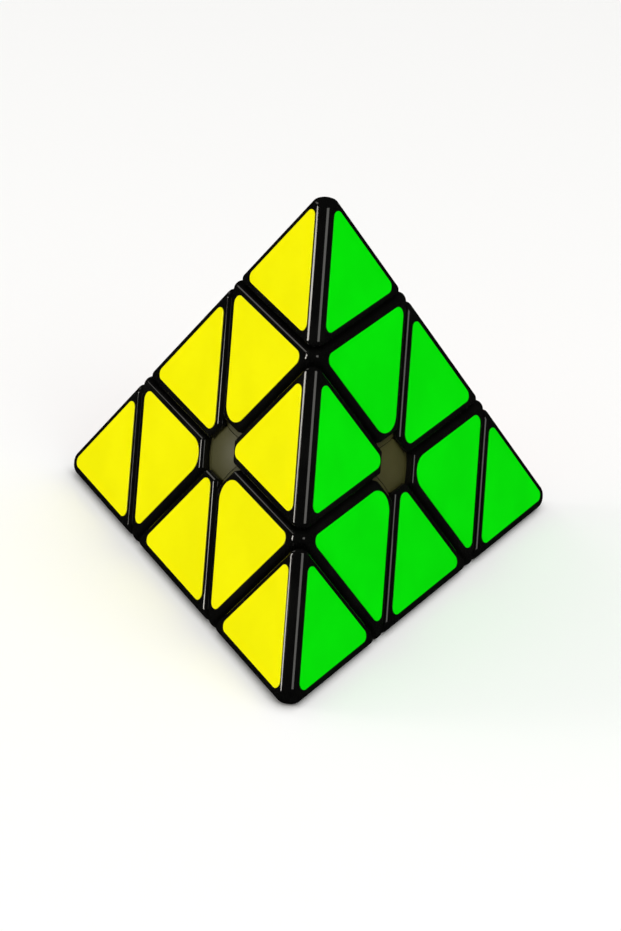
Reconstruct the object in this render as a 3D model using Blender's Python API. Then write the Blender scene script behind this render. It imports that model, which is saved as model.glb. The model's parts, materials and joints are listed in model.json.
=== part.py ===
"""Pyramid twisty puzzle at rest: 4 turning corners, 6 edge pieces, 4 small tips, a hidden core
with sprung screws, and 36 stickers. The origin is the centre of the core, where the four turning
axes meet; +Z runs to the top corner, the front corner points towards -Y, and units are metres."""

import itertools
import math

import bmesh
import bpy
from mathutils import Matrix, Vector

MM = 0.001

# Driving dimensions, in millimetres and degrees.
EDGE = 107.6  # side of the sharp pyramid before its corners are rounded
FACE = EDGE / math.sqrt(24)  # from the centre out to each coloured face
CORNER = 3 * FACE  # from the centre out to each sharp corner
LAYER_CUT = FACE / 3 - 0.33  # plane under each turning layer
TIP_CUT = 5 * FACE / 3 - 0.61  # plane under each small tip
SEAM = 0.4  # clearance across every cut
EDGE_RADIUS = 2.4  # rounding along the six long edges
CORNER_RADIUS = 2.85  # rounding at the four corners
CHAMFER = 0.55  # relief along every seam
WELD = 0.003
STICKER = 0.5
STICKER_GAP = 0.3
PLASTIC_FACE = FACE - STICKER - STICKER_GAP
EDGE_NOSE = 4.8  # edge pieces stop this far from a face centre
CORNER_NOSE = 6.1  # turning corners stop this far from a face centre

# Hidden mechanism: nested shells round the centre, cut by cones about the turning axes.
BALL = 10.0
FOOT_IN, FOOT_OUT = 10.45, 13.9
DISH_IN, DISH_OUT = 14.25, 20.9
CAP_IN = 21.25
FOOT_ANGLE = 64.0
NECK_ANGLE, NECK_ANGLE_OUT = 57.5, 58.6
PAD_ANGLE, STALK_ANGLE = 15.0, 4.7

# Hidden stack along each turning axis.
ARM_RADIUS, ARM_TOP = 3.9, 16.4
BORE_RADIUS = 4.25
WEB_LOW, WEB_HIGH = 16.8, 18.8
SHANK_RADIUS, SCREW_HOLE = 1.5, 1.9
SPRING_LOW, SPRING_HIGH, SPRING_RADIUS, WIRE_RADIUS = 19.15, 25.1, 2.9, 0.35
HEAD_LOW, HEAD_HIGH, HEAD_RADIUS = 25.45, 28.2, 3.7
WELL_RADIUS, GROOVE_RADIUS, GROOVE_LOW, GROOVE_HIGH = 4.9, 5.35, 30.6, 32.6
STUB_RADIUS, LIP_RADIUS, STUB_END = 4.5, 5.02, 29.9

COLOURS = {
    "black": (0.012, 0.012, 0.013, 1),
    "grey": (0.16, 0.15, 0.13, 1),
    "steel": (0.6, 0.6, 0.62, 1),
    "yellow": (0.9, 0.86, 0.0, 1),
    "green": (0.0, 0.75, 0.02, 1),
    "red": (0.75, 0.01, 0.01, 1),
    "blue": (0.0, 0.06, 0.7, 1),
}
ROUGHNESS = {"black": 0.2, "grey": 0.5, "steel": 0.3}

SIDE, BACK, DOWN = math.sqrt(2 / 3), math.sqrt(2) / 3, -1 / 3
AXES = {
    "top": Vector((0, 0, 1)),
    "left": Vector((-SIDE, BACK, DOWN)),
    "right": Vector((SIDE, BACK, DOWN)),
    "front": Vector((0, -2 * BACK, DOWN)),
}
FACES = {"yellow": "right", "green": "left", "red": "front", "blue": "top"}  # opposite corner


def material(name):
    made = bpy.data.materials.new(name)
    made.use_nodes = True
    shader = made.node_tree.nodes["Principled BSDF"]
    shader.inputs["Base Color"].default_value = COLOURS[name]
    shader.inputs["Roughness"].default_value = ROUGHNESS.get(name, 0.35)
    shader.inputs["Metallic"].default_value = 1.0 if name == "steel" else 0.0
    made.diffuse_color = COLOURS[name]
    return made


def new_object(name, mesh, turn=None):
    made = bpy.data.objects.new(name, mesh)
    made.matrix_world = turn or Matrix.Identity(4)
    bpy.context.scene.collection.objects.link(made)
    return made


def mesh_from(name, bm):
    bmesh.ops.recalc_face_normals(bm, faces=bm.faces)
    mesh = bpy.data.meshes.new(name)
    bm.to_mesh(mesh)
    bm.free()
    return mesh


def frame(up, forward):
    """A rotation that takes +Z to up and leaves +Y as near to forward as it can."""
    z = up.normalized()
    x = forward.cross(z).normalized()
    return Matrix((x, z.cross(x), z)).transposed().to_4x4()


def polytope(name, planes):
    """The convex solid inside every (normal, distance) plane."""
    planes = [(normal.normalized(), distance) for normal, distance in planes]
    corners = []
    for (a, p), (b, q), (c, r) in itertools.combinations(planes, 3):
        volume = a.dot(b.cross(c))
        if abs(volume) < 1e-6:
            continue
        spot = (p * b.cross(c) + q * c.cross(a) + r * a.cross(b)) / volume
        inside = all(normal.dot(spot) < distance + 1e-5 for normal, distance in planes)
        if inside and all((spot - other).length > 1e-3 for other in corners):
            corners.append(spot)
    bm = bmesh.new()
    for spot in corners:
        bm.verts.new(spot * MM)
    hull = bmesh.ops.convex_hull(bm, input=bm.verts)
    bmesh.ops.delete(bm, geom=hull["geom_interior"] + hull["geom_unused"], context="VERTS")
    bmesh.ops.dissolve_limit(bm, angle_limit=0.001, verts=bm.verts, edges=bm.edges)
    return mesh_from(name, bm)


def revolve(name, profile, steps):
    """Turns (radius, height) points, listed anticlockwise with +Z up the page, about the Z axis."""
    bm = bmesh.new()
    rings = []
    for radius, height in profile:
        if radius < 1e-6:
            rings.append([bm.verts.new((0, 0, height * MM))])
            continue
        angles = [2 * math.pi * (k + 0.5) / steps for k in range(steps)]
        rings.append(
            [bm.verts.new(Vector((radius * math.cos(a), radius * math.sin(a), height)) * MM) for a in angles]
        )
    for low, high in zip(rings, rings[1:] + rings[:1]):
        for k in range(steps):
            corners = [low[k % len(low)], low[(k + 1) % len(low)]]
            corners += [high[(k + 1) % len(high)], high[k % len(high)]]
            corners = list(dict.fromkeys(corners))
            if len(corners) > 2:
                bm.faces.new(corners)
    return mesh_from(name, bm)


def arc(radius, start, end, steps):
    """Points of a circle round the centre, at angles in degrees from the +Z axis."""
    angles = [math.radians(start + (end - start) * k / max(steps, 1)) for k in range(steps + 1)]
    return [(radius * math.sin(a) if a > 1e-9 else 0, radius * math.cos(a)) for a in angles]


def combine(name, base, *steps):
    """The mesh left after each (operation, mesh, turn) step on the base mesh."""
    body = new_object(name, base)
    tools = []
    for operation, mesh, turn in steps:
        tool = new_object("tool", mesh, turn)
        tools.append(tool)
        modifier = body.modifiers.new(operation, "BOOLEAN")
        modifier.operation, modifier.object, modifier.solver = operation, tool, "EXACT"
    bpy.context.view_layer.update()
    graph = bpy.context.evaluated_depsgraph_get()
    bm = bmesh.new()
    bm.from_mesh(body.evaluated_get(graph).data)
    bmesh.ops.remove_doubles(bm, verts=bm.verts, dist=WELD * MM)
    bmesh.ops.dissolve_degenerate(bm, edges=bm.edges, dist=WELD * MM)
    for used in [body] + tools:
        bpy.data.objects.remove(used)
    return mesh_from(name, bm)


def envelope():
    """Planes of the whole rounded pyramid."""
    planes = [(-axis, PLASTIC_FACE) for axis in AXES.values()]
    reach = (FACE - EDGE_RADIUS) * math.sqrt(3)
    for a, b in itertools.combinations(AXES.values(), 2):
        middle = (a + b).normalized()
        side = middle.cross((a - b).normalized())
        for tilt in (-41, -13.7, 13.7, 41):
            normal = middle * math.cos(math.radians(tilt)) + side * math.sin(math.radians(tilt))
            planes.append((normal, reach * normal.dot(middle) + EDGE_RADIUS))
    for axis in AXES.values():
        centre = axis * (CORNER - 3 * CORNER_RADIUS)
        others = [other for other in AXES.values() if other != axis]
        leans = [(axis + other).normalized() for other in others] + [-other for other in others]
        for normal in [axis] + [(axis + lean).normalized() for lean in leans]:
            planes.append((normal, centre.dot(normal) + CORNER_RADIUS))
    return planes


def relieved(planes, cuts):
    """The planes, the cuts, and a small bevel wherever a cut meets a coloured face."""
    bevels = []
    for normal, distance in cuts:
        for axis in AXES.values():
            both = normal - axis
            if abs(normal.dot(axis)) < 0.9:
                bevels.append((both, (distance + PLASTIC_FACE) / both.length - CHAMFER))
    return planes + cuts + bevels


def nose(axis, toward, length):
    """The wall that squares off a piece near the centre of the face opposite an axis."""
    return (axis * axis.dot(toward) - toward, -length)


def tip_mesh():
    cuts = [(-AXES["top"], -(TIP_CUT + SEAM / 2))]
    outer = polytope("tip", relieved(envelope(), cuts))
    stub = [(0, STUB_END), (STUB_RADIUS - 0.6, STUB_END), (LIP_RADIUS, 31.2), (LIP_RADIUS, 31.9)]
    stub += [(STUB_RADIUS, 32.4), (STUB_RADIUS, TIP_CUT + 2), (0, TIP_CUT + 2)]
    return combine("tip", outer, ("UNION", revolve("stub", stub, 24), None))


def corner_mesh():
    """A turning corner: its outer body joined to the dish that holds the edge pieces down."""
    up = AXES["top"]
    others = [axis for axis in AXES.values() if axis != up]
    cuts = [(-up, -(LAYER_CUT + SEAM / 2)), (up, TIP_CUT - SEAM / 2)]
    cuts += [(axis, LAYER_CUT - SEAM / 2) for axis in others]
    noses = [nose(axis, up, CORNER_NOSE) for axis in others]
    outer = polytope("corner", relieved(envelope() + noses, cuts))
    dish = [(0, DISH_IN - 2)] + arc(DISH_IN - 2, 30, 62, 2) + arc(DISH_OUT, 62, 0, 7)
    hollow = arc(CAP_IN, 180, NECK_ANGLE, 12) + arc(DISH_IN, NECK_ANGLE, 17.4, 4)
    hollow += [(BORE_RADIUS, WEB_LOW), (SCREW_HOLE, WEB_LOW), (SCREW_HOLE, WEB_HIGH)]
    hollow += [(WELL_RADIUS, WEB_HIGH), (WELL_RADIUS, GROOVE_LOW), (GROOVE_RADIUS, GROOVE_LOW + 0.4)]
    hollow += [(GROOVE_RADIUS, GROOVE_HIGH - 0.4), (WELL_RADIUS, GROOVE_HIGH)]
    hollow += [(WELL_RADIUS, TIP_CUT + 5), (0, TIP_CUT + 5)]
    passage = revolve("passage", [(0, 0)] + arc(DISH_OUT + 0.15, NECK_ANGLE_OUT, 0, 6), 36)
    steps = [("UNION", revolve("dish", dish, 36), None)]
    steps += [("DIFFERENCE", revolve("hollow", hollow, 36), None)]
    steps += [("DIFFERENCE", passage, frame(axis, up)) for axis in others]
    return combine("corner", outer, *steps)


def stem_mesh(a, b):
    """Neck and foot of an edge piece: the shell under both layers, lofted outwards from the foot."""
    middle, across = (a + b).normalized(), (a - b).normalized()
    along = middle.cross(across)
    half = math.acos(middle.dot(a))
    bm = bmesh.new()
    rings = []
    for radius, angle in ((FOOT_IN, FOOT_ANGLE), (FOOT_OUT, FOOT_ANGLE), (FOOT_OUT, NECK_ANGLE), (23, NECK_ANGLE)):
        reach = math.acos(math.cos(math.radians(angle)) / math.cos(half))
        sides = []
        for sign in (1, -1):
            side = []
            for k in range(1, 8):
                lift = reach * (k - 4) / 4
                lean = math.acos(min(1, math.cos(math.radians(angle)) / math.cos(lift))) - half
                spot = (middle * math.cos(lean) + across * sign * math.sin(lean)) * math.cos(lift)
                side.append(bm.verts.new((spot + along * math.sin(lift)) * radius * MM))
            sides.append(side)
        ends = [bm.verts.new((middle * math.cos(reach) + along * s * math.sin(reach)) * radius * MM) for s in (-1, 1)]
        rings.append([ends[0]] + sides[0] + [ends[1]] + sides[1][::-1])
    count = len(rings[0])
    for low, high in zip(rings, rings[1:]):
        for k in range(count):
            bm.faces.new((low[k], low[(k + 1) % count], high[(k + 1) % count], high[k]))
    for ring in (rings[0], rings[-1]):
        for k in range(count // 2):
            corners = [ring[k], ring[k + 1], ring[-k - 1], ring[-k % count]]
            bm.faces.new(list(dict.fromkeys(corners)))
    return mesh_from("stem", bm)


def edge_mesh():
    """The edge piece between the top and front corners: outer body, thin neck and foot."""
    a, b = AXES["top"], AXES["front"]
    cuts = [(-axis, -(LAYER_CUT + SEAM / 2)) for axis in (a, b)]
    noses = [nose(AXES[name], a + b, EDGE_NOSE) for name in ("left", "right")]
    outer = polytope("edge", relieved(envelope() + noses, cuts))
    stem = stem_mesh(a, b)
    ball = revolve("ball", arc(CAP_IN, 180, 0, 15), 36)
    return combine("edge", outer, ("DIFFERENCE", ball, None), ("UNION", stem, None))


def core_mesh():
    """The ball, its four arms, and the four fixed pads seen through the face centres."""
    arm = revolve("arm", [(0, 5), (ARM_RADIUS, 5), (ARM_RADIUS, ARM_TOP), (0, ARM_TOP)], 20)
    hole = revolve("hole", [(0, 7), (SCREW_HOLE, 7), (SCREW_HOLE, ARM_TOP + 1), (0, ARM_TOP + 1)], 16)
    pad = [(0, 9)] + arc(9, STALK_ANGLE, STALK_ANGLE, 0) + arc(DISH_IN, STALK_ANGLE, PAD_ANGLE, 1)
    pad = revolve("pad", pad + arc(DISH_OUT, PAD_ANGLE, 0, 3), 24)
    gap = arc(DISH_IN - 1, NECK_ANGLE_OUT, 26, 2) + arc(DISH_OUT + 1, 26, NECK_ANGLE_OUT, 3)
    gap = revolve("gap", gap, 36)
    steps = []
    for operation, mesh, side in (
        ("UNION", arm, 1),
        ("UNION", pad, -1),
        ("DIFFERENCE", gap, 1),
        ("DIFFERENCE", hole, 1),
    ):
        for name, axis in AXES.items():
            forward = AXES["front" if name == "top" else "top"]
            steps.append((operation, mesh, frame(side * axis, forward)))
    return combine("core", revolve("ball", arc(BALL, 180, 0, 10), 20), *steps)


def screw_mesh():
    """A washer-head screw with a hexagon socket."""
    screw = [(0, 8), (SHANK_RADIUS, 9.2), (SHANK_RADIUS, HEAD_LOW), (HEAD_RADIUS, HEAD_LOW)]
    screw += [(HEAD_RADIUS, HEAD_LOW + 0.7), (2.7, HEAD_LOW + 1.0), (2.7, HEAD_HIGH - 0.4)]
    screw = revolve("screw", screw + [(2.3, HEAD_HIGH), (0, HEAD_HIGH)], 20)
    socket = [(0, HEAD_HIGH - 1.5), (1.35, HEAD_HIGH - 1.5), (1.35, HEAD_HIGH + 1), (0, HEAD_HIGH + 1)]
    return combine("screw", screw, ("DIFFERENCE", revolve("socket", socket, 6), None))


def spring_mesh():
    """A coil of square-cornered wire loops, swept as a closed tube."""
    bm = bmesh.new()
    turns, steps, sides = 4, 12, 6
    low, high = SPRING_LOW + WIRE_RADIUS, SPRING_HIGH - WIRE_RADIUS
    rings = []
    for k in range(turns * steps + 1):
        height = low + (high - low) * k / (turns * steps)
        spin = Matrix.Rotation(2 * math.pi * k / steps, 3, "Z")
        ring = []
        for s in range(sides):
            a = 2 * math.pi * s / sides
            spot = Vector((SPRING_RADIUS + WIRE_RADIUS * math.cos(a), 0, height + WIRE_RADIUS * math.sin(a)))
            ring.append(bm.verts.new(spin @ spot * MM))
        rings.append(ring)
    for low_ring, high_ring in zip(rings, rings[1:]):
        for s in range(sides):
            t = (s + 1) % sides
            bm.faces.new((low_ring[s], low_ring[t], high_ring[t], high_ring[s]))
    bm.faces.new(rings[0])
    bm.faces.new(rings[-1])
    return mesh_from("spring", bm)


def sticker_mesh(name, sides, radii):
    """A flat tile on the +Z face inside three (direction, distance) lines, with rounded corners."""
    lines = [(Vector((math.sin(math.radians(a)), math.cos(math.radians(a)))), d) for a, d in sides]
    outline = []
    for k, radius in enumerate(radii):
        (n, p), (m, q) = lines[k], lines[(k + 1) % 3]
        area = n.x * m.y - n.y * m.x
        spot = Vector(((p - radius) * m.y - (q - radius) * n.y, (q - radius) * n.x - (p - radius) * m.x)) / area
        start, sweep = math.atan2(n.y, n.x), n.angle_signed(m)
        for step in range(6):
            angle = start - sweep * step / 5
            outline.append(spot + Vector((math.cos(angle), math.sin(angle))) * radius)
    bm = bmesh.new()
    low, high = (
        [bm.verts.new(Vector((p.x, p.y, height)) * MM) for p in outline] for height in (FACE - STICKER, FACE)
    )
    for k in range(len(outline)):
        t = (k + 1) % len(outline)
        bm.faces.new((low[k], low[t], high[t], high[k]))
    bm.faces.new(low)
    bm.faces.new(high)
    return mesh_from(name, bm)


def sticker_shapes():
    """The three sticker outlines, each with its corner of the face towards +Y."""
    third = EDGE / math.sqrt(12)
    return {
        "tip": ([(180, -third - 1.6), (300, third - 3.25), (60, third - 3.25)], (1.4, 1.4, 1.4)),
        "corner": ([(0, third - 2.0), (120, -1.65), (240, -1.65)], (1.6, 3.95, 1.6)),
        "edge": ([(180, third - 3.55), (300, -2.1), (60, -2.1)], (1.4, 1.8, 1.4)),
    }


def build():
    for old in list(bpy.data.objects):
        bpy.data.objects.remove(old)
    materials = {name: material(name) for name in COLOURS}

    def place(name, mesh, paint, turn):
        own = mesh.copy()
        own.name = name
        own.materials.clear()
        own.materials.append(materials[paint])
        new_object(name, own, turn)

    def turn_to(first, second):
        """Takes the top axis to the first and the front axis to the second."""
        return frame(AXES[first], -AXES[second])

    tip, corner, edge, screw, spring = tip_mesh(), corner_mesh(), edge_mesh(), screw_mesh(), spring_mesh()
    place("core", core_mesh(), "grey", Matrix.Identity(4))
    for name in AXES:
        turn = turn_to(name, "front" if name == "top" else "top")
        place(f"corner_{name}", corner, "black", turn)
        place(f"tip_{name}", tip, "black", turn)
        place(f"screw_{name}", screw, "steel", turn)
        place(f"spring_{name}", spring, "steel", turn)
    for a, b in itertools.combinations(AXES, 2):
        place(f"edge_{a}_{b}", edge, "black", turn_to(a, b))
    shapes = {kind: sticker_mesh(kind, *shape) for kind, shape in sticker_shapes().items()}
    for colour, opposite in FACES.items():
        around = [name for name in AXES if name != opposite]
        for name in around:
            turn = frame(-AXES[opposite], AXES[name])
            place(f"sticker_{colour}_tip_{name}", shapes["tip"], colour, turn)
            place(f"sticker_{colour}_corner_{name}", shapes["corner"], colour, turn)
            a, b = (other for other in around if other != name)
            place(f"sticker_{colour}_edge_{a}_{b}", shapes["edge"], colour, turn)
    for mesh in [mesh for mesh in bpy.data.meshes if mesh.users == 0]:
        bpy.data.meshes.remove(mesh)


build()
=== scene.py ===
import itertools
import json
import math

import bmesh
import bpy
import numpy as np
from mathutils import Matrix, Vector


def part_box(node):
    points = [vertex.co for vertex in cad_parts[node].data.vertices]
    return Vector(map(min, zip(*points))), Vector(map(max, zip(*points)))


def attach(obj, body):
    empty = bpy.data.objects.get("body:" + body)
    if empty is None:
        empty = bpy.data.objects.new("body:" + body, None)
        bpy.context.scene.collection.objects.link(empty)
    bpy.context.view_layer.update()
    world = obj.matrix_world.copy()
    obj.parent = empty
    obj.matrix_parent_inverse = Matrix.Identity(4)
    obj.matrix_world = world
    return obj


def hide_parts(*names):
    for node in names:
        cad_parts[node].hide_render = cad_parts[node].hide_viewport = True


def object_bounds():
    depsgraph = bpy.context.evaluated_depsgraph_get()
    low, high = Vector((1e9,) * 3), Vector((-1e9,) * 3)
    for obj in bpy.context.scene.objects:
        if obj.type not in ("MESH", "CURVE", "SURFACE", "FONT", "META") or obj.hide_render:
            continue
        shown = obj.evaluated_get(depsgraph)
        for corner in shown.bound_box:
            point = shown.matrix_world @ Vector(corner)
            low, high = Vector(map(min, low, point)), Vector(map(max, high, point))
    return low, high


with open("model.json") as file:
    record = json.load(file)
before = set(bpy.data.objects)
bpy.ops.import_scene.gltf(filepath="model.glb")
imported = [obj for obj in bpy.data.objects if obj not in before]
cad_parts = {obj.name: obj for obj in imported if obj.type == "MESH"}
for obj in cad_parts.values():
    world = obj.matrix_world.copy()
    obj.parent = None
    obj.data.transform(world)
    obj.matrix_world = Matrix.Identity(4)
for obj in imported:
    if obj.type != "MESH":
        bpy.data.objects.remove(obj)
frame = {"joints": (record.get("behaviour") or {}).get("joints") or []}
cad_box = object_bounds()

MM = 0.001

# Sizes in millimetres, from the centre of the core outwards.
FACE = -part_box("sticker_blue_corner_front")[0].z / MM  # outside of every coloured tile
EDGE = FACE * math.sqrt(24)  # side of the sharp pyramid
TILE = 0.15  # thickness of a coloured tile
SHELL = FACE - TILE  # moulded faces under the tiles
LAYER_CUT = FACE / 3 - 0.33  # plane under each turning layer
TIP_CUT = 5 * FACE / 3 - 0.61  # plane under each small tip
SEAM = 0.42  # clearance across every cut
RIDGE_ROLL = 2.25  # rounding along the six long edges
POINT_ROLL = 2.78  # rounding at the four points
WIDE_ROLL, NARROW_ROLL = 1.0, 0.8  # rounding along the seams
EDGE_NOSE, CORNER_NOSE = 4.8, 6.1  # how far the pieces stop from a face centre

# Mechanism: shells round the centre, cut by cones about the turning axes.
BALL = 10.0
FOOT_IN, FOOT_OUT, FOOT_ANGLE = 10.45, 13.9, 64.0
DISH_IN, DISH_OUT, CAP_IN = 14.25, 20.9, 21.25
NECK_ANGLE, NECK_ANGLE_OUT = 57.5, 57.9
PAD_ANGLE, STALK_ANGLE = 15.0, 4.7
PAD_STEM, FIT = 9.0, 0.15  # where the pads' stalks start, and the play between nested shells
HUB_ANGLE, RIM_ANGLE = 14, 17.4  # where a dish meets its hub, outside and inside
ARM_RADIUS, ARM_TOP, BORE_RADIUS, WEB_LOW, WEB_HIGH = 3.9, 16.4, 4.25, 16.8, 18.8
WELL_RADIUS, GROOVE_RADIUS, GROOVE_LOW, GROOVE_HIGH = 4.9, 5.35, 30.6, 32.6
STUB_RADIUS, LIP_RADIUS, STUB_END = 4.5, 5.02, 29.9
LIP_LOW, LIP_HIGH, LIP_TOP = 31.2, 31.9, 32.4
SHANK_RADIUS, SCREW_HOLE, SCREW_END, THREAD_PITCH, THREAD_TURNS = 1.5, 1.9, 8, 0.8, 9
SPRING_LOW, SPRING_HIGH, SPRING_RADIUS, WIRE_RADIUS, SPRING_TURNS = 19.15, 25.1, 2.9, 0.35, 5
HEAD_LOW, HEAD_HIGH, HEAD_RADIUS, DRIVE_RADIUS = 25.45, 28.2, 3.7, 2.8
STEM_STEPS = 12  # facets along each side of an edge piece's neck

ROUND_STEP = 18  # degrees between the facets of a rolled edge
RIDGE_STEPS = 10  # facets round a long edge
POINT_RINGS, RING_STEP = 5, 11  # rings of facets round a point, and the degrees between them
SHARP = 32  # degrees above which an edge is drawn as a crease
WELD = 0.002  # points nearer than this are joined after a cut

AXES = {
    joint["name"].removeprefix("turn_"): Vector(joint["axis"]).normalized()
    for joint in frame["joints"]
    if joint["name"].startswith("turn_")
}
FACES = {"yellow": "right", "green": "left", "red": "front", "blue": "top"}  # opposite corner


# ---------------------------------------------------------------- finishes


class Value:
    """A number that changes over a surface; arithmetic on it adds Math nodes."""

    def __init__(self, finish, socket):
        self.finish, self.socket = finish, socket

    def maths(self, operation, *others):
        sockets = dict(enumerate((self,) + others))
        return self.finish.add("ShaderNodeMath", {"operation": operation}, sockets)

    def __add__(self, other):
        return self.maths("ADD", other)

    def __mul__(self, other):
        return self.maths("MULTIPLY", other)

    __radd__, __rmul__ = __add__, __mul__


class Finish:
    """A material built from nodes."""

    def __init__(self, name):
        self.material = bpy.data.materials.new(name)
        self.material.use_nodes = True
        self.tree = self.material.node_tree
        self.surface = self.tree.nodes["Principled BSDF"]
        self.spot = self.add("ShaderNodeTexCoord", {}, {}, "Object")

    def add(self, kind, settings, sockets, output=0):
        """A new node with these settings and sockets, as the value of one of its outputs."""
        node = self.tree.nodes.new(kind)
        for name, value in settings.items():
            setattr(node, name, value)
        self.fill(node, sockets)
        return Value(self, node.outputs[output])

    def fill(self, node, sockets):
        """Links or sets each of the node's named sockets."""
        for name, value in sockets.items():
            if isinstance(value, Value):
                self.tree.links.new(value.socket, node.inputs[name])
            else:
                node.inputs[name].default_value = value

    def grain(self, size, detail=2.0):
        """Noise from 0 to 1 whose features are about this many millimetres across."""
        sockets = {"Vector": self.spot, "Scale": 1 / (size * MM), "Detail": detail}
        return self.add("ShaderNodeTexNoise", {}, sockets, "Fac")

    def between(self, value, low, high):
        """0 below low, 1 above high and smooth between."""
        settings = {"interpolation_type": "SMOOTHSTEP"}
        sockets = {"Value": value, "From Min": low, "From Max": high}
        return self.add("ShaderNodeMapRange", settings, sockets, "Result")

    def mix(self, share, first, second):
        """The first colour where share is 0 and the second where it is 1."""
        sockets = {"Factor": share, 6: first, 7: second}
        return self.add("ShaderNodeMix", {"data_type": "RGBA"}, sockets, 2)

    def bump(self, height, distance):
        """A relief this many millimetres deep."""
        sockets = {"Height": height, "Distance": distance * MM, "Strength": 1.0}
        return self.add("ShaderNodeBump", {}, sockets, "Normal")


def black_plastic():
    made = Finish("glossy black plastic")
    smears = made.between(made.grain(9.0, 3.0), 0.48, 0.72)
    speckle = made.grain(0.25, 2.0)
    made.fill(made.surface, {
        "Base Color": made.mix(smears, (0.0025, 0.0025, 0.0024, 1), (0.0042, 0.0041, 0.0038, 1)),
        "Roughness": 0.06 + 0.05 * smears + 0.03 * speckle,
        "Specular IOR Level": 0.5,
        "Normal": made.bump(made.grain(1.6, 3.0), 0.003),
    })
    return made.material


def core_plastic():
    made = Finish("satin plastic with painted hollow shade")
    cloud = made.grain(6.0, 3.0)
    grain = made.grain(0.35, 3.0)
    made.fill(made.surface, {
        # Base colour: the core's own plastic colour, darkened and tinted olive as painted shade and
        # painted yellow bounce light inside the face-centre hollows
        "Base Color": made.mix(cloud, (0.050, 0.047, 0.012, 1), (0.068, 0.064, 0.020, 1)),
        "Roughness": 0.42 + 0.12 * grain,
        "Specular IOR Level": 0.3,
        "Normal": made.bump(grain, 0.01),
    })
    return made.material


def vinyl(name, deep, bright):
    made = Finish(name + " vinyl")
    cloud = made.grain(14.0, 2.0)
    fine = made.grain(0.3, 3.0)
    made.fill(made.surface, {
        "Base Color": made.mix(made.between(cloud, 0.3, 0.7), deep, bright),
        "Roughness": 0.07 + 0.04 * fine,
        "Specular IOR Level": 0.35,
        "Normal": made.bump(made.grain(2.2, 2.0), 0.004),
    })
    return made.material


def steel():
    made = Finish("zinc-plated steel")
    lines = made.grain(0.5, 4.0)
    made.fill(made.surface, {
        "Base Color": made.mix(lines, (0.5, 0.5, 0.5, 1), (0.68, 0.68, 0.66, 1)),
        "Metallic": 1.0,
        "Roughness": 0.26 + 0.14 * lines,
        "Normal": made.bump(lines, 0.004),
    })
    return made.material


# ---------------------------------------------------------------- shapes


def turned(up, forward):
    """A rotation that takes +Z to up and leaves +Y as near to forward as it can."""
    z = up.normalized()
    x = forward.cross(z).normalized()
    return Matrix((x, z.cross(x), z)).transposed().to_4x4()


def mesh_from(name, bm, sharp=SHARP):
    bmesh.ops.recalc_face_normals(bm, faces=bm.faces)
    mesh = bpy.data.meshes.new(name)
    bm.to_mesh(mesh)
    bm.free()
    mesh.shade_smooth()
    mesh.set_sharp_from_angle(angle=math.radians(sharp))
    return mesh


def corners_of(planes):
    """Each corner of the solid inside the planes, with the directions of the planes that meet."""
    normals = np.array([list(normal.normalized()) for normal, _ in planes])
    distances = np.array([distance for _, distance in planes])
    triples = np.array(list(itertools.combinations(range(len(planes)), 3)))
    sides = normals[triples]
    crossing = np.abs(np.linalg.det(sides)) > 1e-5
    triples, sides = triples[crossing], sides[crossing]
    spots = np.linalg.solve(sides, distances[triples][..., None])[..., 0]
    spots = spots[(spots @ normals.T <= distances + 1e-5).all(axis=1)]
    spots = np.unique(np.round(spots, 4), axis=0)
    for spot in spots:
        touching = np.abs(normals @ spot - distances) < 1e-3
        yield Vector(spot), [Vector(normal) for normal in normals[touching]]


def between_directions(normals):
    """Directions that fill the space between the normals, finely enough to look round."""
    for a, b, c in itertools.combinations(normals, 3):
        widest = max(a.angle(b), b.angle(c), c.angle(a))
        steps = max(1, math.ceil(math.degrees(widest) / ROUND_STEP))
        for i in range(steps + 1):
            for j in range(i + 1):
                yield a.slerp(b.slerp(c, j / max(i, 1)), i / steps)


def rolled(name, planes, radius):
    """The convex solid inside the planes, with every edge rolled to the radius."""
    shrunk = [(normal, distance - radius) for normal, distance in planes]
    spots = {}
    for spot, normals in corners_of(shrunk):
        for direction in between_directions(normals):
            place = spot + direction * radius
            spots[tuple(round(x, 3) for x in place)] = place
    bm = bmesh.new()
    for place in spots.values():
        bm.verts.new(place * MM)
    hull = bmesh.ops.convex_hull(bm, input=bm.verts)
    spare = list(set(hull["geom_interior"] + hull["geom_unused"]))
    bmesh.ops.delete(bm, geom=spare, context="VERTS")
    bmesh.ops.dissolve_limit(bm, angle_limit=0.002, verts=bm.verts, edges=bm.edges)
    return mesh_from(name, bm)


def revolve(name, profile, steps=64):
    """Turns (radius, height) points, listed anticlockwise with +Z up the page, about the Z axis."""
    bm = bmesh.new()
    rings = []
    for radius, height in profile:
        count = steps if radius > 1e-6 else 1
        ring = []
        for k in range(count):
            a = 2 * math.pi * (k + 0.5) / steps
            spot = Vector((radius * math.cos(a), radius * math.sin(a), height))
            ring.append(bm.verts.new(spot * MM))
        rings.append(ring)
    for low, high in zip(rings, rings[1:] + rings[:1]):
        for k in range(steps):
            corners = [low[k % len(low)], low[(k + 1) % len(low)]]
            corners += [high[(k + 1) % len(high)], high[k % len(high)]]
            corners = list(dict.fromkeys(corners))
            if len(corners) > 2:
                bm.faces.new(corners)
    return mesh_from(name, bm)


def arc(radius, start, end, steps):
    """Points of a circle round the centre, at angles in degrees from the +Z axis."""
    angles = [math.radians(start + (end - start) * k / max(steps, 1)) for k in range(steps + 1)]
    return [(radius * math.sin(a) if a > 1e-9 else 0, radius * math.cos(a)) for a in angles]


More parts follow.
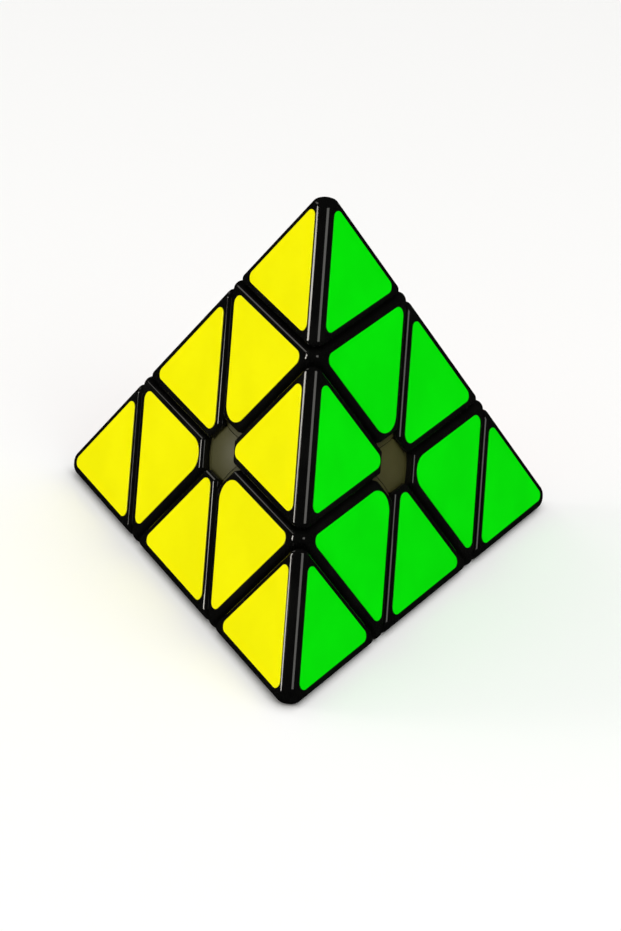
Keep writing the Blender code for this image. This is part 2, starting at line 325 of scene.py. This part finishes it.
def combine(name, base, *steps):
    """The mesh left after each (operation, mesh, turn) step on the base mesh."""
    body = bpy.data.objects.new(name, base)
    helpers = [body]
    for operation, mesh, turn in steps:
        tool = bpy.data.objects.new("tool", mesh)
        tool.matrix_world = turn or Matrix.Identity(4)
        helpers.append(tool)
        modifier = body.modifiers.new(operation, "BOOLEAN")
        modifier.operation, modifier.object, modifier.solver = operation, tool, "EXACT"
    for helper in helpers:
        bpy.context.scene.collection.objects.link(helper)
    bpy.context.view_layer.update()
    bm = bmesh.new()
    bm.from_mesh(body.evaluated_get(bpy.context.evaluated_depsgraph_get()).data)
    bmesh.ops.remove_doubles(bm, verts=bm.verts, dist=WELD * MM)
    bmesh.ops.dissolve_degenerate(bm, edges=bm.edges, dist=WELD * MM)
    for helper in helpers:
        bpy.data.objects.remove(helper)
    return mesh_from(name, bm)


def ridge_planes(a, b):
    """Planes round the long edge between two points of the pyramid."""
    middle = (a + b).normalized()
    side = middle.cross((a - b).normalized())
    reach = (SHELL - RIDGE_ROLL) * math.sqrt(3)
    half = math.degrees(math.acos(1 / math.sqrt(3)))
    for k in range(RIDGE_STEPS):
        tilt = math.radians(half * (2 * k + 1 - RIDGE_STEPS) / RIDGE_STEPS)
        normal = middle * math.cos(tilt) + side * math.sin(tilt)
        yield normal, reach * math.cos(tilt) + RIDGE_ROLL


def point_planes(axis):
    """Planes round a point of the pyramid, easing from its own rounding to that of the edges."""
    turn = turned(axis, -AXES["front" if axis != AXES["front"] else "top"]).to_3x3()
    for ring in range(POINT_RINGS):
        lean, count = math.radians(RING_STEP * ring), max(1, 6 * ring)
        roll = POINT_ROLL + (RIDGE_ROLL - POINT_ROLL) * (ring / POINT_RINGS) ** 2
        for k in range(count):
            way = 2 * math.pi * k / count
            out = math.sin(lean)
            normal = turn @ Vector((out * math.sin(way), out * math.cos(way), math.cos(lean)))
            yield normal, 3 * (SHELL - roll) * math.cos(lean) + roll


def faces():
    """Planes of the four moulded faces."""
    return [(-axis, SHELL) for axis in AXES.values()]


def nose(axis, toward, length):
    """The wall that squares off a piece near the centre of the face opposite an axis."""
    wall = axis * axis.dot(toward) - toward
    return wall, -length


def tip_shell():
    """A small tip with the lipped stub that clicks into its corner."""
    up = AXES["top"]
    others = [axis for axis in AXES.values() if axis != up]
    planes = faces() + [(-up, -(TIP_CUT + SEAM / 2))] + list(point_planes(up))
    for other in others:
        planes += ridge_planes(up, other)
    stub = [(0, STUB_END), (STUB_RADIUS - 0.6, STUB_END), (LIP_RADIUS, LIP_LOW)]
    stub += [(LIP_RADIUS, LIP_HIGH), (STUB_RADIUS, LIP_TOP)]
    stub += [(STUB_RADIUS, TIP_CUT + 2), (0, TIP_CUT + 2)]
    outer = rolled("tip", planes, WIDE_ROLL)
    return combine("tip shell", outer, ("UNION", revolve("stub", stub), None))


def corner_shell():
    """The outer moulding of a turning corner."""
    up = AXES["top"]
    others = [axis for axis in AXES.values() if axis != up]
    planes = faces() + [(-up, -(LAYER_CUT + SEAM / 2)), (up, TIP_CUT - SEAM / 2)]
    for other in others:
        planes.append((other, LAYER_CUT - SEAM / 2))
        planes.append(nose(other, up, CORNER_NOSE))
        planes += ridge_planes(up, other)
    hollow = arc(CAP_IN, 180, NECK_ANGLE, 24) + arc(DISH_OUT - FIT, NECK_ANGLE, HUB_ANGLE, 12)
    bevel = 0.4
    hollow += [(WELL_RADIUS, WEB_HIGH), (WELL_RADIUS, GROOVE_LOW)]
    hollow += [(GROOVE_RADIUS, GROOVE_LOW + bevel), (GROOVE_RADIUS, GROOVE_HIGH - bevel)]
    hollow += [(WELL_RADIUS, GROOVE_HIGH)]
    hollow += [(WELL_RADIUS, TIP_CUT + 5), (0, TIP_CUT + 5)]
    outer = rolled("corner", planes, NARROW_ROLL)
    return combine("corner shell", outer, ("DIFFERENCE", revolve("hollow", hollow), None))


def corner_dish():
    """The inner moulding of a turning corner: a hub, and a dish that holds the edge pieces."""
    up = AXES["top"]
    others = [axis for axis in AXES.values() if axis != up]
    dish = arc(DISH_IN, RIM_ANGLE, NECK_ANGLE, 8) + arc(DISH_OUT, NECK_ANGLE, HUB_ANGLE, 14)
    hub = WELL_RADIUS - 0.05
    dish += [(hub, 21.5), (hub, WEB_HIGH), (SCREW_HOLE, WEB_HIGH)]
    dish += [(SCREW_HOLE, WEB_LOW), (BORE_RADIUS, WEB_LOW)]
    passage = revolve("passage", [(0, 0)] + arc(DISH_OUT + FIT, NECK_ANGLE_OUT, 0, 12), 96)
    steps = [("DIFFERENCE", passage, turned(axis, up)) for axis in others]
    return combine("corner dish", revolve("dish", dish, 96), *steps)


def stem(a, b):
    """Neck and foot of an edge piece, lofted outwards from the foot."""
    middle, across = (a + b).normalized(), (a - b).normalized()
    along = middle.cross(across)
    half = math.acos(middle.dot(a))
    stations = (
        (FOOT_IN, FOOT_ANGLE), (FOOT_OUT, FOOT_ANGLE), (FOOT_OUT, NECK_ANGLE), (23, NECK_ANGLE)
    )
    bm = bmesh.new()
    rings = []
    for radius, angle in stations:
        tilt = math.cos(math.radians(angle))
        reach = math.acos(tilt / math.cos(half))
        sides = []
        for sign in (1, -1):
            side = []
            for k in range(1, STEM_STEPS):
                lift = reach * (2 * k / STEM_STEPS - 1)
                lean = math.acos(min(1, tilt / math.cos(lift))) - half
                spot = (middle * math.cos(lean) + across * sign * math.sin(lean)) * math.cos(lift)
                side.append(bm.verts.new((spot + along * math.sin(lift)) * radius * MM))
            sides.append(side)
        ends = []
        for sign in (-1, 1):
            spot = middle * math.cos(reach) + along * sign * math.sin(reach)
            ends.append(bm.verts.new(spot * radius * MM))
        rings.append([ends[0]] + sides[0] + [ends[1]] + sides[1][::-1])
    total = len(rings[0])
    for low, high in zip(rings, rings[1:]):
        for k in range(total):
            bm.faces.new((low[k], low[(k + 1) % total], high[(k + 1) % total], high[k]))
    for ring in (rings[0], rings[-1]):
        for k in range(total // 2):
            corners = [ring[k], ring[k + 1], ring[-k - 1], ring[-k % total]]
            bm.faces.new(list(dict.fromkeys(corners)))
    return mesh_from("stem", bm)


def edge_shell():
    """The edge piece between the top and front corners, with its neck and foot."""
    a, b = AXES["top"], AXES["front"]
    planes = faces() + [(-axis, -(LAYER_CUT + SEAM / 2)) for axis in (a, b)]
    planes += ridge_planes(a, b)
    planes += [nose(AXES[name], a + b, EDGE_NOSE) for name in ("left", "right")]
    under = revolve("under", arc(CAP_IN, 180, 0, 30), 96)
    steps = [("DIFFERENCE", under, None), ("UNION", stem(a, b), None)]
    return combine("edge shell", rolled("edge", planes, WIDE_ROLL), *steps)


def core_body():
    """The ball, its four arms, and the four fixed pads seen through the face centres."""
    bevel = 0.4
    arm = [(0, 5), (ARM_RADIUS, 5), (ARM_RADIUS, ARM_TOP - bevel), (ARM_RADIUS - bevel, ARM_TOP)]
    arm += [(0, ARM_TOP)]
    hole = [(0, 7), (SCREW_HOLE, 7), (SCREW_HOLE, ARM_TOP - 0.3)]
    wide = SCREW_HOLE + bevel
    hole += [(wide, ARM_TOP + 0.1), (wide, ARM_TOP + 1), (0, ARM_TOP + 1)]
    pad = [(0, PAD_STEM)] + arc(PAD_STEM, STALK_ANGLE, STALK_ANGLE, 0)
    pad += arc(DISH_IN, STALK_ANGLE, PAD_ANGLE, 2)
    pad += arc(DISH_OUT, PAD_ANGLE, 0, 8)
    gap = arc(DISH_IN - 1, NECK_ANGLE_OUT, 26, 6) + arc(DISH_OUT + 1, 26, NECK_ANGLE_OUT, 8)
    steps = []
    for operation, mesh, side in (
        ("UNION", revolve("arm", arm, 40), 1),
        ("UNION", revolve("pad", pad, 48), -1),
        ("DIFFERENCE", revolve("gap", gap, 96), 1),
        ("DIFFERENCE", revolve("hole", hole, 32), 1),
    ):
        for name, axis in AXES.items():
            forward = AXES["front" if name == "top" else "top"]
            steps.append((operation, mesh, turned(side * axis, forward)))
    return combine("core body", revolve("ball", arc(BALL, 180, 0, 24), 48), *steps)


def screw():
    """A washer-head screw with a cross recess and a threaded shank."""
    profile = [(0, SCREW_END), (0.9, SCREW_END + 0.6)]
    for k in range(THREAD_TURNS):
        low = SCREW_END + 0.9 + THREAD_PITCH * k
        profile += [(1.15, low), (SHANK_RADIUS, low + THREAD_PITCH / 2)]
    neck = SHANK_RADIUS - 0.1
    profile += [(1.2, ARM_TOP), (neck, ARM_TOP + 0.3), (neck, HEAD_LOW), (HEAD_RADIUS, HEAD_LOW)]
    profile += [(HEAD_RADIUS, HEAD_LOW + 0.55), (HEAD_RADIUS - 0.15, HEAD_LOW + 0.7)]
    profile += [(DRIVE_RADIUS, HEAD_LOW + 0.8), (DRIVE_RADIUS, HEAD_HIGH - 0.8)]
    profile += [(2.5, HEAD_HIGH - 0.3), (1.7, HEAD_HIGH - 0.05), (0, HEAD_HIGH)]
    slope, wing, half_width, depth = math.radians(75), 1.75, 0.34, 1.6
    walls = []
    for side in (1, -1):
        wall = Vector((side * math.sin(slope), 0, -math.cos(slope)))
        walls.append((wall, wing - HEAD_HIGH * math.cos(slope)))
    walls += [(Vector((0, side, 0)), half_width) for side in (1, -1)]
    walls += [(Vector((0, 0, 1)), HEAD_HIGH + 1), (Vector((0, 0, -1)), -(HEAD_HIGH - depth))]
    slot = rolled("recess", walls, 0.03)
    turns = [Matrix.Rotation(math.radians(angle), 4, "Z") for angle in (0, 90)]
    steps = [("DIFFERENCE", slot, turn) for turn in turns]
    return combine("screw", revolve("screw", profile, 48), *steps)


def spring():
    """A wire coil whose first and last turns lie flat."""
    bm = bmesh.new()
    turns, steps, sides = SPRING_TURNS, 32, 12
    low, high = SPRING_LOW + WIRE_RADIUS, SPRING_HIGH - WIRE_RADIUS
    rings = []
    for k in range(turns * steps + 1):
        along = k / (turns * steps)
        rise = min(max((along * turns - 0.8) / (turns - 1.6), 0), 1)
        height = low + (high - low - 1.0) * rise + 0.5 * along * 2
        spin = Matrix.Rotation(2 * math.pi * k / steps, 3, "Z")
        ring = []
        for s in range(sides):
            a = 2 * math.pi * s / sides
            out, up = WIRE_RADIUS * math.cos(a), WIRE_RADIUS * math.sin(a)
            spot = Vector((SPRING_RADIUS + out, 0, height + up))
            ring.append(bm.verts.new(spin @ spot * MM))
        rings.append(ring)
    for low_ring, high_ring in zip(rings, rings[1:]):
        for s in range(sides):
            after = (s + 1) % sides
            bm.faces.new((low_ring[s], low_ring[after], high_ring[after], high_ring[s]))
    bm.faces.new(rings[0])
    bm.faces.new(rings[-1])
    return mesh_from("spring", bm)


def tile(name, sides, radii):
    """A thin tile on the +Z face inside three (angle, distance) lines, with rounded corners."""
    lines = []
    for angle, distance in sides:
        way = math.radians(angle)
        lines.append((Vector((math.sin(way), math.cos(way))), distance))

    def outline(inset):
        points = []
        for k, radius in enumerate(radii):
            (n, p), (m, q) = lines[k], lines[(k + 1) % 3]
            area = n.x * m.y - n.y * m.x
            p, q = p - radius, q - radius
            spot = Vector((p * m.y - q * n.y, q * n.x - p * m.x)) / area
            start, sweep = math.atan2(n.y, n.x), n.angle_signed(m)
            for step in range(13):
                angle = start - sweep * step / 12
                way = Vector((math.cos(angle), math.sin(angle)))
                points.append(spot + way * (radius - inset))
        return points

    bm = bmesh.new()
    rings = []
    for inset, height in ((0, SHELL), (0, FACE - 0.06), (0.02, FACE - 0.02), (0.07, FACE)):
        rings.append([bm.verts.new(Vector((p.x, p.y, height)) * MM) for p in outline(inset)])
    count = len(rings[0])
    for low, high in zip(rings, rings[1:]):
        for k in range(count):
            after = (k + 1) % count
            bm.faces.new((low[k], low[after], high[after], high[k]))
    bm.faces.new(rings[0])
    bm.faces.new(rings[-1])
    return mesh_from(name, bm, 60)


def tile_shapes():
    """The three tile outlines, each with its corner of the face towards +Y."""
    third = EDGE / math.sqrt(12)
    tip_base, tip_side = -third - 1.65, third - 3.45
    return {
        "tip": ([(180, tip_base), (300, tip_side), (60, tip_side)], (1.4, 1.4, 1.4)),
        "corner": ([(0, third - 2.0), (120, -1.65), (240, -1.65)], (1.6, 3.95, 1.6)),
        "edge": ([(180, third - 3.55), (300, -2.1), (60, -2.1)], (1.4, 1.8, 1.4)),
    }


# ---------------------------------------------------------------- pieces


def place(name, mesh, finish, body, turn, slot, *stands_for):
    """Adds a turned copy of the mesh as a piece that rides on the body."""
    own = mesh.copy()
    own.name = name
    own.transform(turn)
    own.materials.clear()
    own.materials.append(finish)
    made = bpy.data.objects.new(name, own)
    bpy.context.scene.collection.objects.link(made)
    even = made.modifiers.new("even shading", "WEIGHTED_NORMAL")
    even.mode, even.keep_sharp = "FACE_AREA", True
    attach(made, body)
    if stands_for:
        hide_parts(*stands_for)


def turn_to(first, second):
    """Takes the top axis to the first and the front axis to the second."""
    return turned(AXES[first], -AXES[second])


def build_puzzle():
    """Places every piece on its body."""
    black, grey, metal = black_plastic(), core_plastic(), steel()
    vinyls = {
        "yellow": vinyl("yellow", (0.84, 0.80, 0.0005, 1), (0.88, 0.84, 0.0008, 1)),
        "green": vinyl("green", (0.0004, 0.76, 0.0009, 1), (0.0006, 0.82, 0.0012, 1)),
        "red": vinyl("red", (0.68, 0.004, 0.003, 1), (0.74, 0.006, 0.004, 1)),
        "blue": vinyl("blue", (0.001, 0.045, 0.55, 1), (0.0015, 0.055, 0.62, 1)),
    }
    tip, shell, dish, edge = tip_shell(), corner_shell(), corner_dish(), edge_shell()
    bolt, coil = screw(), spring()
    place("core_body", core_body(), grey, "core", Matrix.Identity(4), "grey_plastic", "core")
    for name in AXES:
        turn = turn_to(name, "front" if name == "top" else "top")
        corner, end = f"corner_{name}", f"tip_{name}"
        place(f"{corner}_shell", shell, black, corner, turn, "black_plastic", corner)
        place(f"{corner}_dish", dish, grey, corner, turn, "grey_plastic")
        place(f"{end}_shell", tip, black, end, turn, "black_plastic", end)
        place(f"screw_{name}_bolt", bolt, metal, "core", turn, "steel", f"screw_{name}")
        place(f"spring_{name}_coil", coil, metal, "core", turn, "steel", f"spring_{name}")
    for a, b in itertools.combinations(AXES, 2):
        name = f"edge_{a}_{b}"
        place(f"{name}_shell", edge, black, name, turn_to(a, b), "black_plastic", name)
    shapes = {kind: tile(kind, *shape) for kind, shape in tile_shapes().items()}
    for colour, opposite in FACES.items():
        around = [name for name in AXES if name != opposite]
        for name in around:
            turn = turned(-AXES[opposite], AXES[name])
            a, b = (other for other in around if other != name)
            bodies = {"tip": f"tip_{name}", "corner": f"corner_{name}", "edge": f"edge_{a}_{b}"}
            for kind, body in bodies.items():
                title, node = f"tile_{colour}_{body}", f"sticker_{colour}_{body}"
                place(title, shapes[kind], vinyls[colour], body, turn, f"{colour}_vinyl", node)


# ---------------------------------------------------------------- studio


def floor():
    """A matt floor, open under the puzzle and clear from below, so that the underside shows."""
    inset, spread = 3.6, 120  # millimetres inside the sharp base, and how far the floor runs on
    reach = Vector((EDGE / math.sqrt(3) - 2 * inset, 0, 0)) * MM
    spins = [Matrix.Rotation(math.radians(30 + 120 * k), 3, "Z") for k in range(3)]
    bm = bmesh.new()
    rings = []
    for size in (1, spread):
        rings.append([bm.verts.new(spin @ reach * size) for spin in spins])
    for k in range(3):
        after = (k + 1) % 3
        bm.faces.new((rings[0][k], rings[1][k], rings[1][after], rings[0][after]))
    mesh = bpy.data.meshes.new("floor")
    bm.to_mesh(mesh)
    bm.free()
    made = bpy.data.objects.new("floor", mesh)
    made.location = (0, 0, cad_box[0].z)
    finish = Finish("pale matt floor")
    finish.fill(finish.surface, {
        "Base Color": (0.93, 0.93, 0.925, 1),
        "Roughness": 0.85,
        "Specular IOR Level": 0.1,
    })
    behind = finish.add("ShaderNodeNewGeometry", {}, {}, "Backfacing")
    clear = finish.add("ShaderNodeBsdfTransparent", {}, {})
    solid = Value(finish, finish.surface.outputs[0])
    either = finish.add("ShaderNodeMixShader", {}, {"Fac": behind, 1: solid, 2: clear})
    finish.fill(finish.tree.nodes["Material Output"], {"Surface": either})
    made.data.materials.append(finish.material)
    bpy.context.scene.collection.objects.link(made)
    made.visible_glossy = False


def softbox(name, toward, distance, width, height, strength, colour=(1, 1, 1)):
    """A rectangular lamp that faces the puzzle from a direction; distances are in metres."""
    lamp = bpy.data.lights.new(name, "AREA")
    lamp.shape, lamp.size, lamp.size_y = "RECTANGLE", width, height
    lamp.energy, lamp.color = strength * math.pi * width * height, colour
    made = bpy.data.objects.new(name, lamp)
    away = Vector(toward).normalized()
    made.location = away * distance
    made.rotation_euler = away.to_track_quat("Z", "Y").to_euler()
    bpy.context.scene.collection.objects.link(made)
    return made


def surroundings(ambient, mirrored):
    """A white backdrop that lights softly and shows only dimly in glossy surfaces."""
    world = bpy.data.worlds.new("studio")
    bpy.context.scene.world = world
    world.use_nodes = True
    nodes, links = world.node_tree.nodes, world.node_tree.links
    nodes.clear()
    path, out = nodes.new("ShaderNodeLightPath"), nodes.new("ShaderNodeOutputWorld")
    shades = {}
    for name, strength in (("seen", 1.0), ("soft", ambient), ("mirrored", mirrored)):
        shades[name] = nodes.new("ShaderNodeBackground")
        shades[name].inputs["Color"].default_value = (1, 1, 1, 1)
        shades[name].inputs["Strength"].default_value = strength
    gloss, sight = nodes.new("ShaderNodeMixShader"), nodes.new("ShaderNodeMixShader")
    links.new(path.outputs["Is Glossy Ray"], gloss.inputs["Fac"])
    links.new(shades["soft"].outputs[0], gloss.inputs[1])
    links.new(shades["mirrored"].outputs[0], gloss.inputs[2])
    links.new(path.outputs["Is Camera Ray"], sight.inputs["Fac"])
    links.new(gloss.outputs[0], sight.inputs[1])
    links.new(shades["seen"].outputs[0], sight.inputs[2])
    links.new(sight.outputs[0], out.inputs["Surface"])


def studio():
    """Narrow lights that draw the lines of gloss, and broad ones that leave no reflection."""
    floor()
    warm, soft, pale = (1, 0.96, 0.88), (1, 0.99, 0.93), (1, 0.97, 0.9)
    softbox("left strip light", (-0.98, 0.0, 0.11), 1.3, 0.34, 0.5, 12.5, warm)
    softbox("front right strip light", (0.47, -0.62, 0.63), 1.3, 0.54, 0.5, 2.4, soft)
    softbox("rear left strip light", (-0.66, 0.49, 0.57), 1.3, 0.4, 0.4, 1.5, pale)
    for name, toward, width, height, strength in (
        ("left fill", (-0.9, -0.35, 0.25), 0.9, 0.9, 0.9),
        ("overhead fill", (0.2, -0.15, 0.97), 2.0, 1.6, 1.7),
    ):
        softbox(name, toward, 1.5, width, height, strength).visible_glossy = False
    surroundings(ambient=0.42, mirrored=0.004)
    bpy.context.scene.view_settings.view_transform = "Standard"


def camera():
    """Looks down at the yellow and green faces, turned a little about its own line of sight."""
    lens = bpy.data.cameras.new("camera")
    lens.sensor_width, lens.lens = 36, 148.09
    lens.clip_start, lens.clip_end = 0.05, 50
    made = bpy.data.objects.new("camera", lens)
    aim = Vector((0.54, -0.05, -0.09)) * MM
    made.location = Vector((7.55, -673.69, 386.52)) * MM
    look = (aim - made.location).to_track_quat("-Z", "Y").to_matrix()
    roll = Matrix.Rotation(math.radians(3.91), 3, "Z")
    made.rotation_euler = (look @ roll).to_euler()
    bpy.context.scene.collection.objects.link(made)
    bpy.context.scene.camera = made


build_puzzle()
studio()
camera()
